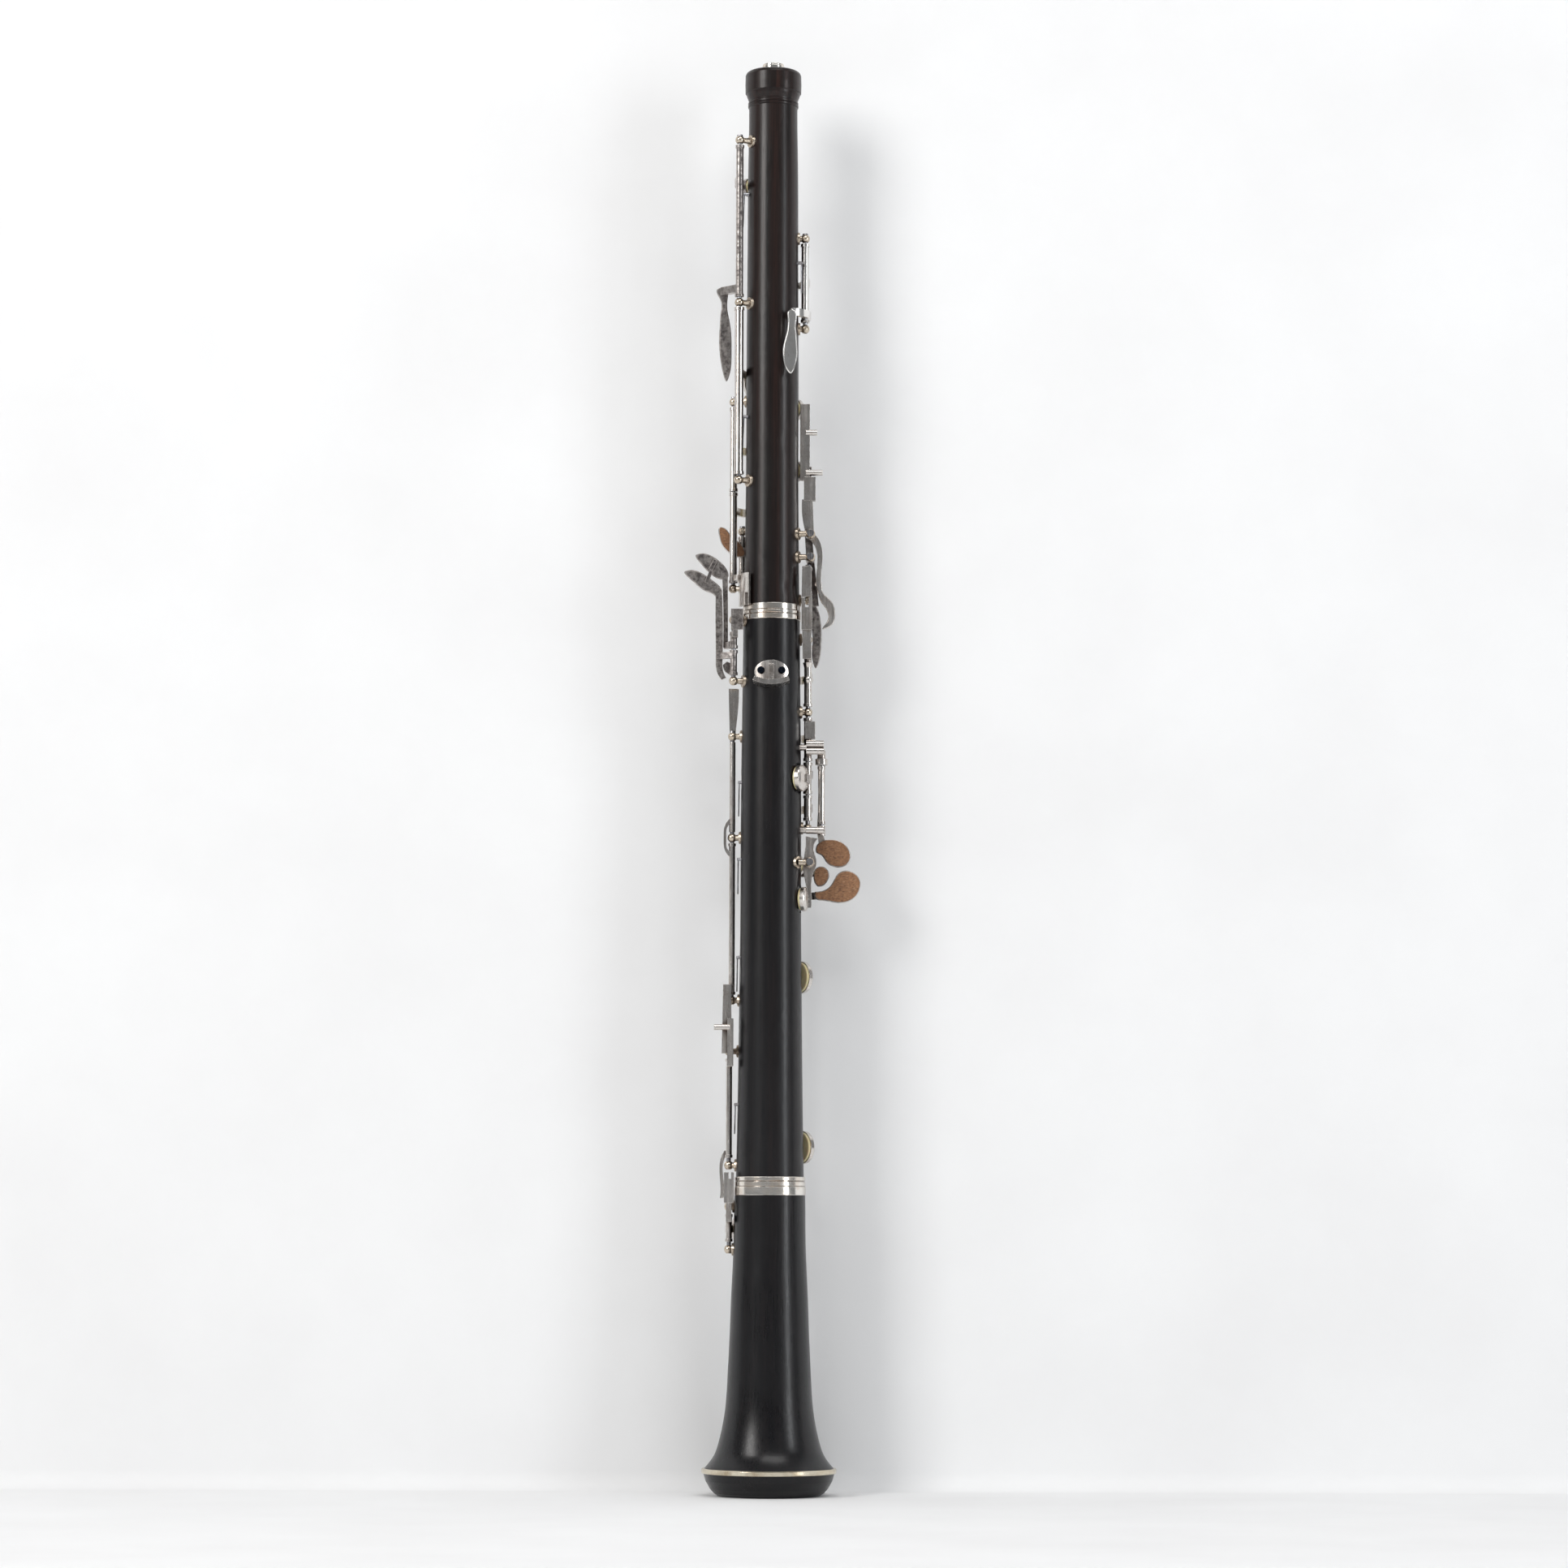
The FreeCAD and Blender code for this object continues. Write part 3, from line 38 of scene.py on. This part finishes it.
# ---- shader helpers -----------------------------------------------------------------------
class Shader:
    """A material under construction, with short ways to add and join nodes."""

    def __init__(self, name):
        self.material = bpy.data.materials.new(name)
        self.material.use_nodes = True
        self.tree = self.material.node_tree
        self.tree.nodes.clear()
        self.output = self.node("ShaderNodeOutputMaterial")
        self.surface = self.node("ShaderNodeBsdfPrincipled")
        self.join(self.surface.outputs[0], self.output.inputs["Surface"])
        self.place = self.node("ShaderNodeTexCoord")

    def node(self, kind, **settings):
        made = self.tree.nodes.new(kind)
        for key, value in settings.items():
            setattr(made, key, value)
        return made

    def join(self, source, target):
        self.tree.links.new(source, target)

    def set(self, **values):
        for key, value in values.items():
            self.surface.inputs[key.replace("_", " ")].default_value = value

    def stretched(self, scale, turn=(0.0, 0.0, 0.0)):
        """Object coordinates with their own scale along each axis."""
        mapping = self.node("ShaderNodeMapping")
        mapping.inputs["Scale"].default_value = scale
        mapping.inputs["Rotation"].default_value = turn
        self.join(self.place.outputs["Object"], mapping.inputs["Vector"])
        return mapping.outputs["Vector"]

    def noise(self, scale, stretch=(1, 1, 1), detail=4.0, rough=0.55, warp=0.0):
        made = self.node("ShaderNodeTexNoise")
        made.inputs["Scale"].default_value = scale
        made.inputs["Detail"].default_value = detail
        made.inputs["Roughness"].default_value = rough
        made.inputs["Distortion"].default_value = warp
        self.join(self.stretched(stretch), made.inputs["Vector"])
        return made.outputs["Fac"]

    def ramp(self, value, stops):
        """Value through a colour ramp; stops are (position, grey or colour)."""
        made = self.node("ShaderNodeValToRGB")
        band = made.color_ramp
        while len(band.elements) < len(stops):
            band.elements.new(0.5)
        for element, (position, colour) in zip(band.elements, stops):
            element.position = position
            if isinstance(colour, (int, float)):
                colour = (colour, colour, colour)
            element.color = (*colour, 1.0)
        self.join(value, made.inputs["Fac"])
        return made.outputs["Color"]

    def mix(self, factor, first, second, blend="MIX"):
        """Blend two colours; each may be a colour or a socket."""
        made = self.node("ShaderNodeMix", data_type="RGBA", blend_type=blend)
        for socket, value in ((made.inputs[0], factor), (made.inputs[6], first),
                              (made.inputs[7], second)):
            if isinstance(value, bpy.types.NodeSocket):
                self.join(value, socket)
            elif isinstance(value, (int, float)):
                socket.default_value = value
            else:
                socket.default_value = (*value, 1.0)
        return made.outputs[2]

    def math(self, operation, first, second=0.5, clamp=False):
        made = self.node("ShaderNodeMath", operation=operation, use_clamp=clamp)
        for socket, value in zip(made.inputs, (first, second)):
            if isinstance(value, bpy.types.NodeSocket):
                self.join(value, socket)
            else:
                socket.default_value = value
        return made.outputs[0]

    def height(self):
        """Height of the shaded point up the instrument, in metres."""
        made = self.node("ShaderNodeSeparateXYZ")
        self.join(self.place.outputs["Object"], made.inputs[0])
        return made.outputs["Z"]

    def facing(self, axis):
        """How far the surface faces along an axis of the object, 0 to 1."""
        made = self.node("ShaderNodeVectorMath", operation="DOT_PRODUCT")
        self.join(self.place.outputs["Normal"], made.inputs[0])
        made.inputs[1].default_value = axis
        return self.math("MAXIMUM", made.outputs["Value"], 0.0)

    def rim(self, width):
        """1 near edges, 0 on flats."""
        rounded = self.node("ShaderNodeBevel", samples=6)
        rounded.inputs["Radius"].default_value = width
        shape = self.node("ShaderNodeNewGeometry")
        made = self.node("ShaderNodeVectorMath", operation="DOT_PRODUCT")
        self.join(rounded.outputs[0], made.inputs[0])
        self.join(shape.outputs["Normal"], made.inputs[1])
        return self.ramp(made.outputs["Value"], [(0.90, 1.0), (0.995, 0.0)])

    def recess(self, distance):
        """1 in open places, towards 0 in corners and gaps."""
        made = self.node("ShaderNodeAmbientOcclusion", samples=6)
        made.inputs["Distance"].default_value = distance
        return made.outputs["AO"]

    def relief(self, layers, edge=0.0):
        """Bump from (value, strength, distance) layers over softened edges."""
        normal = None
        if edge:
            rounded = self.node("ShaderNodeBevel", samples=4)
            rounded.inputs["Radius"].default_value = edge
            normal = rounded.outputs[0]
        for value, strength, distance in layers:
            bump = self.node("ShaderNodeBump")
            bump.inputs["Strength"].default_value = strength
            bump.inputs["Distance"].default_value = distance
            self.join(value, bump.inputs["Height"])
            if normal is not None:
                self.join(normal, bump.inputs["Normal"])
            normal = bump.outputs[0]
        self.join(normal, self.surface.inputs["Normal"])


# ---- materials ----------------------------------------------------------------------------
def blackwood(name, dark, warm, warmth, shine):
    """Oiled grenadilla: near-black with fine streaks along the grain and open pores."""
    s = Shader(name)
    broad = s.noise(1.0, (260, 260, 6), detail=5, rough=0.6, warp=0.4)
    fine = s.noise(1.0, (1500, 1500, 22), detail=6, rough=0.7)
    cloud = s.noise(38, detail=3)
    streak = s.ramp(broad, [(0.36, 0.0), (0.66, 1.0)])
    lines = s.ramp(fine, [(0.30, 0.0), (0.72, 1.0)])
    amount = s.math("MULTIPLY", s.math("MULTIPLY", streak, lines), warmth)
    colour = s.mix(amount, dark, warm)
    colour = s.mix(s.ramp(cloud, [(0.35, 0.0), (0.8, 0.35)]), colour, tuple(c * 1.9 for c in dark))
    s.join(colour, s.surface.inputs["Base Color"])
    rough = s.ramp(s.math("ADD", s.math("MULTIPLY", fine, 0.55), s.math("MULTIPLY", cloud, 0.45)),
                   [(0.3, shine), (0.75, shine + 0.17)])
    s.join(rough, s.surface.inputs["Roughness"])
    s.set(Specular_IOR_Level=0.30, Coat_Weight=0.10, Coat_Roughness=0.16, Coat_IOR=1.45)
    pores = s.ramp(s.noise(1.0, (3000, 3000, 130), detail=2), [(0.30, 0.0), (0.42, 1.0)])
    s.relief([(fine, 0.16, 0.00008), (pores, 0.22, 0.00006)], edge=0.00025)
    return s.material


def key_metal(name, base, tarnish, shade_grime_colour, low=0.13, high=0.34, front_shade_and_tarnish=0.0):
    """Nickel silver: patchy pink tarnish, painted shade with grime in the corners, a painted
    highlight along the edges and, when asked, mottled painted shade with tarnish on the faces
    turned to -Y.
    """
    s = Shader(name)
    cloud = s.noise(130, detail=5, rough=0.6)
    spots = s.noise(900, detail=4, rough=0.65)
    wipe = s.noise(1.0, (700, 700, 60), detail=3)
    # painted shade with grime: corners and gaps are darkened and made rougher
    corner = s.recess(0.0035)
    shade_grime_mask = s.ramp(corner, [(0.40, 1.0), (0.90, 0.0)])
    patch = s.ramp(cloud, [(0.46, 0.0), (0.72, 0.75)])
    colour = s.mix(patch, base, tuple(0.55 * b + 0.45 * t for b, t in zip(base, tarnish)))
    colour = s.mix(s.ramp(spots, [(0.56, 0.0), (0.74, 0.55)]), colour, tarnish)
    colour = s.mix(shade_grime_mask, colour, shade_grime_colour)
    rough = s.math("ADD", s.ramp(wipe, [(0.3, low), (0.75, high)]),
                   s.math("MULTIPLY", shade_grime_mask, 0.18))
    # painted shade with mottled tarnish on the faces turned to -Y
    if front_shade_and_tarnish:
        front_shade_side = s.ramp(s.facing((0, -1, 0)), [(0.45, 0.0), (0.8, 1.0)])
        mottled = s.ramp(s.noise(520, detail=6, rough=0.7), [(0.40, 0.35), (0.62, 1.0)])
        amount = s.math("MULTIPLY", s.math("MULTIPLY", front_shade_side, mottled), front_shade_and_tarnish)
        colour = s.mix(amount, colour, (0.075, 0.066, 0.066))
        rough = s.math("ADD", rough, s.math("MULTIPLY", amount, 0.2))
    # painted highlight: the edges are lightened
    edge_highlight = s.math("MULTIPLY", s.rim(0.00035), 0.75)
    colour = s.mix(edge_highlight, colour, tuple(min(1.0, 1.15 * b) for b in base))
    s.join(colour, s.surface.inputs["Base Color"])
    s.join(rough, s.surface.inputs["Roughness"])
    s.set(Metallic=1.0)
    s.relief([(cloud, 0.10, 0.00012), (spots, 0.10, 0.00004), (wipe, 0.05, 0.00003)],
             edge=0.00018)
    return s.material


def turned_metal(name, base, tint):
    """Lathe-turned rings: polished, with faint turning marks, stain and painted shade in the
    grooves.
    """
    s = Shader(name)
    rings = s.noise(1.0, (40, 40, 5200), detail=2)
    cloud = s.noise(160, detail=5, rough=0.6)
    colour = s.mix(s.ramp(cloud, [(0.42, 0.0), (0.72, 0.9)]), base, tint)
    # painted shade: grooves and corners are darkened
    colour = s.mix(s.ramp(s.recess(0.0015), [(0.35, 0.85), (0.85, 0.0)]), colour,
                   (0.16, 0.11, 0.085))
    s.join(colour, s.surface.inputs["Base Color"])
    s.join(s.ramp(cloud, [(0.3, 0.12), (0.8, 0.30)]), s.surface.inputs["Roughness"])
    s.set(Metallic=1.0)
    s.relief([(rings, 0.12, 0.00003), (cloud, 0.08, 0.0001)], edge=0.00015)
    return s.material


def steel(name, blued_at=None):
    """Rods, screws and springs.

    blued_at is (height, reach): steel within reach of that height is blue-black.
    """
    s = Shader(name)
    scratch = s.noise(1.0, (2400, 2400, 90), detail=3)
    cloud = s.noise(300, detail=4)
    colour = s.mix(s.ramp(cloud, [(0.35, 0.0), (0.75, 1.0)]), (0.42, 0.43, 0.46),
                   (0.20, 0.17, 0.16))
    if blued_at:
        height, reach = blued_at
        level = s.node("ShaderNodeMath", operation="COMPARE")
        s.join(s.height(), level.inputs[0])
        level.inputs[1].default_value = height
        level.inputs[2].default_value = reach
        colour = s.mix(level.outputs[0], colour, (0.018, 0.024, 0.036))
    s.join(colour, s.surface.inputs["Base Color"])
    s.join(s.ramp(scratch, [(0.3, 0.20), (0.8, 0.42)]), s.surface.inputs["Roughness"])
    s.set(Metallic=1.0)
    s.relief([(scratch, 0.15, 0.00003)], edge=0.0001)
    return s.material


def cork_stuff(name):
    """Sheet cork: tan cells, dark lenticels and a few pale veins."""
    s = Shader(name)
    grain = s.noise(900, detail=6, rough=0.7)
    cells = s.node("ShaderNodeTexVoronoi", feature="F1")
    cells.inputs["Scale"].default_value = 1500
    s.join(s.stretched((1, 1, 1.6)), cells.inputs["Vector"])
    flecks = s.ramp(s.noise(1.0, (900, 900, 2600), detail=3), [(0.34, 1.0), (0.44, 0.0)])
    veins = s.ramp(s.noise(1.0, (420, 420, 2300), detail=3), [(0.60, 0.0), (0.72, 0.6)])
    colour = s.mix(s.ramp(grain, [(0.3, 0.0), (0.75, 1.0)]), (0.17, 0.078, 0.036),
                   (0.36, 0.185, 0.092))
    colour = s.mix(veins, colour, (0.56, 0.35, 0.20))
    colour = s.mix(s.math("MULTIPLY", flecks, 0.8), colour, (0.075, 0.03, 0.018))
    s.join(colour, s.surface.inputs["Base Color"])
    s.join(s.ramp(grain, [(0.3, 0.62), (0.8, 0.9)]), s.surface.inputs["Roughness"])
    s.relief([(grain, 0.5, 0.00012), (cells.outputs["Distance"], 0.3, 0.0001)], edge=0.0002)
    return s.material


def pad_skin(name):
    """Bladder skin over felt: cream, a little waxy, with painted shade where it meets the cup."""
    s = Shader(name)
    cloud = s.noise(420, detail=4)
    wrinkle = s.noise(1600, detail=3, warp=1.2)
    colour = s.mix(s.ramp(cloud, [(0.3, 0.0), (0.75, 1.0)]), (0.80, 0.71, 0.44),
                   (0.70, 0.58, 0.33))
    # painted shade: darker in the corners around the pad
    colour = s.mix(s.ramp(s.recess(0.0012), [(0.3, 0.7), (0.8, 0.0)]), colour,
                   (0.38, 0.27, 0.13))
    s.join(colour, s.surface.inputs["Base Color"])
    s.join(s.ramp(cloud, [(0.3, 0.34), (0.8, 0.52)]), s.surface.inputs["Roughness"])
    s.set(Subsurface_Weight=0.25, Subsurface_Scale=0.0012)
    s.relief([(wrinkle, 0.25, 0.00008)], edge=0.0003)
    return s.material


SILVER = (0.70, 0.665, 0.63)
PINK_TARNISH = (0.40, 0.30, 0.24)
RECESS_SHADE_AND_GRIME = (0.085, 0.05, 0.035)

WOOD_TOP = blackwood("blackwood_upper", (0.0052, 0.0041, 0.0040), (0.046, 0.016, 0.011), 0.8, 0.25)
WOOD_LOW = blackwood("blackwood_lower", (0.0038, 0.0039, 0.0049), (0.018, 0.011, 0.010), 0.7, 0.27)
WOOD_BELL = blackwood("blackwood_bell", (0.0034, 0.0035, 0.0045), (0.014, 0.009, 0.009), 0.6, 0.23)
METAL = key_metal("nickel_silver", SILVER, PINK_TARNISH, RECESS_SHADE_AND_GRIME)
# a darker copy of nickel silver, with painted shade on the side facing -Y
METAL_DULL_SHADED = key_metal("nickel_silver_dull_shaded", (0.60, 0.56, 0.53), (0.25, 0.19, 0.16), RECESS_SHADE_AND_GRIME,
                       0.2, 0.42, front_shade_and_tarnish=0.95)
METAL_BRIGHT = key_metal("nickel_silver_bright", (0.86, 0.845, 0.82), (0.60, 0.54, 0.48), RECESS_SHADE_AND_GRIME,
                         0.12, 0.26)
METAL_POST = key_metal("nickel_silver_post", (0.62, 0.54, 0.44), (0.30, 0.20, 0.12),
                       (0.06, 0.033, 0.02), 0.16, 0.36)
RING = turned_metal("ring_silver", (0.84, 0.81, 0.76), (0.62, 0.52, 0.42))
BRASSY = turned_metal("ring_brassy", (0.72, 0.66, 0.53), (0.48, 0.38, 0.25))
STEEL = steel("rod_steel")
SCREW_STEEL = steel("screw_steel", blued_at=(THUMB_SCREWS_HEIGHT, THUMB_SCREWS_REACH))
CORK = cork_stuff("sheet_cork")
PAD = pad_skin("bladder_skin")

DULL_SHADED_KEYS = {"side_octave_key", "trill_lever_two", "low_b_lever", "low_b_flat_lever"}
POSTS = {"upper_posts", "lower_posts", "bell_posts"}
BRIGHT_KEYS = {"thumb_octave_key"}


def material_for(name):
    """The material that a CAD node wears."""
    if name == "upper_joint":
        return WOOD_TOP
    if name == "lower_joint":
        return WOOD_LOW
    if name == "bell":
        return WOOD_BELL
    if name.endswith("cork") or name.endswith("corks"):
        return CORK
    if name.endswith("_pad"):
        return PAD
    if name == "screws":
        return SCREW_STEEL
    if name in ("hinge_rods", "needle_springs"):
        return STEEL
    if name == "bell_ring":
        return BRASSY
    if name in ("ferrules", "reed_well_liner", "octave_vents"):
        return RING
    if name in DULL_SHADED_KEYS:
        return METAL_DULL_SHADED
    if name in POSTS:
        return METAL_POST
    if name in BRIGHT_KEYS:
        return METAL_BRIGHT
    return METAL


for name, piece in NODES.items():
    piece.data.materials.clear()
    piece.data.materials.append(material_for(name))
    for face in piece.data.polygons:
        face.use_smooth = True
    piece.data.set_sharp_from_angle(angle=SHARP_ANGLE)


# ---- stage, light and camera --------------------------------------------------------------
def mesh_piece(name, corners, faces, material):
    """A new object from corners and faces, in the scene."""
    mesh = bpy.data.meshes.new(name)
    mesh.from_pydata(corners, [], faces)
    mesh.materials.append(material)
    made = bpy.data.objects.new(name, mesh)
    bpy.context.scene.collection.objects.link(made)
    return made


def paper():
    """Matt studio paper that can be looked through from behind."""
    s = Shader("studio_paper")
    cloud = s.noise(9, detail=5)
    s.join(s.mix(s.ramp(cloud, [(0.3, 0.0), (0.8, 1.0)]), (0.86, 0.865, 0.87),
                 (0.80, 0.80, 0.805)), s.surface.inputs["Base Color"])
    s.set(Roughness=0.9)
    s.relief([(s.noise(240, detail=4), 0.12, 0.0004)])
    clear = s.node("ShaderNodeBsdfTransparent")
    side = s.node("ShaderNodeNewGeometry")
    choose = s.node("ShaderNodeMixShader")
    s.join(side.outputs["Backfacing"], choose.inputs[0])
    s.join(s.surface.outputs[0], choose.inputs[1])
    s.join(clear.outputs[0], choose.inputs[2])
    s.join(choose.outputs[0], s.output.inputs["Surface"])
    return s.material


def sweep(back, curve, near, high, half_width, steps=14):
    """Floor that curves up into a backdrop behind the instrument."""
    line = [(near, 0.0)]
    for i in range(steps + 1):
        angle = math.pi / 2 * i / steps
        line.append((back - curve + curve * math.sin(angle), curve - curve * math.cos(angle)))
    line.append((back, high))
    corners, faces = [], []
    for y, z in line:
        corners += [(-half_width, y, z), (half_width, y, z)]
    for i in range(len(line) - 1):
        a = 2 * i
        faces.append((a, a + 1, a + 3, a + 2))
    made = mesh_piece("paper_sweep", corners, faces, paper())
    for face in made.data.polygons:
        face.use_smooth = True
    return made


def area_light(name, place, size, power, colour):
    """Soft rectangular light that points at the middle of the instrument."""
    data = bpy.data.lights.new(name, "AREA")
    data.shape = "RECTANGLE"
    data.size, data.size_y = size
    data.energy = power
    data.color = colour
    made = bpy.data.objects.new(name, data)
    made.location = place
    made.rotation_euler = (Vector(LIGHT_TARGET) - Vector(place)).to_track_quat("-Z", "Y").to_euler()
    bpy.context.scene.collection.objects.link(made)


BACKDROP = sweep(back=0.036, curve=0.008, near=-3.0, high=2.4, half_width=2.5)

area_light("key_light", (-1.5, -1.5, 1.3), size=(0.7, 1.1), power=26,
           colour=(1.0, 0.985, 0.965))
area_light("top_light", (0.3, -1.3, 2.0), size=(1.6, 0.8), power=17,
           colour=(1.0, 0.99, 0.98))
area_light("fill_light", (1.7, -1.2, 0.4), size=(0.4, 1.4), power=14,
           colour=(0.95, 0.975, 1.0))

world = bpy.data.worlds.new("studio")
world.use_nodes = True
background = world.node_tree.nodes["Background"]
background.inputs["Color"].default_value = WORLD_COLOUR
background.inputs["Strength"].default_value = WORLD_STRENGTH
bpy.context.scene.world = world

lens = bpy.data.cameras.new("camera")
lens.sensor_width = SENSOR_WIDTH
lens.lens = LENS_LENGTH
lens.clip_end = CAMERA_REACH
camera = bpy.data.objects.new("camera", lens)
camera.matrix_world = (
    Matrix.Translation(CAMERA_PLACE)
    @ Matrix.Rotation(math.pi / 2 + CAMERA_PITCH, 4, "X")
    @ Matrix.Rotation(CAMERA_ROLL, 4, "Z"))
bpy.context.scene.collection.objects.link(camera)
bpy.context.scene.camera = camera

bpy.context.scene.view_settings.view_transform = "Standard"
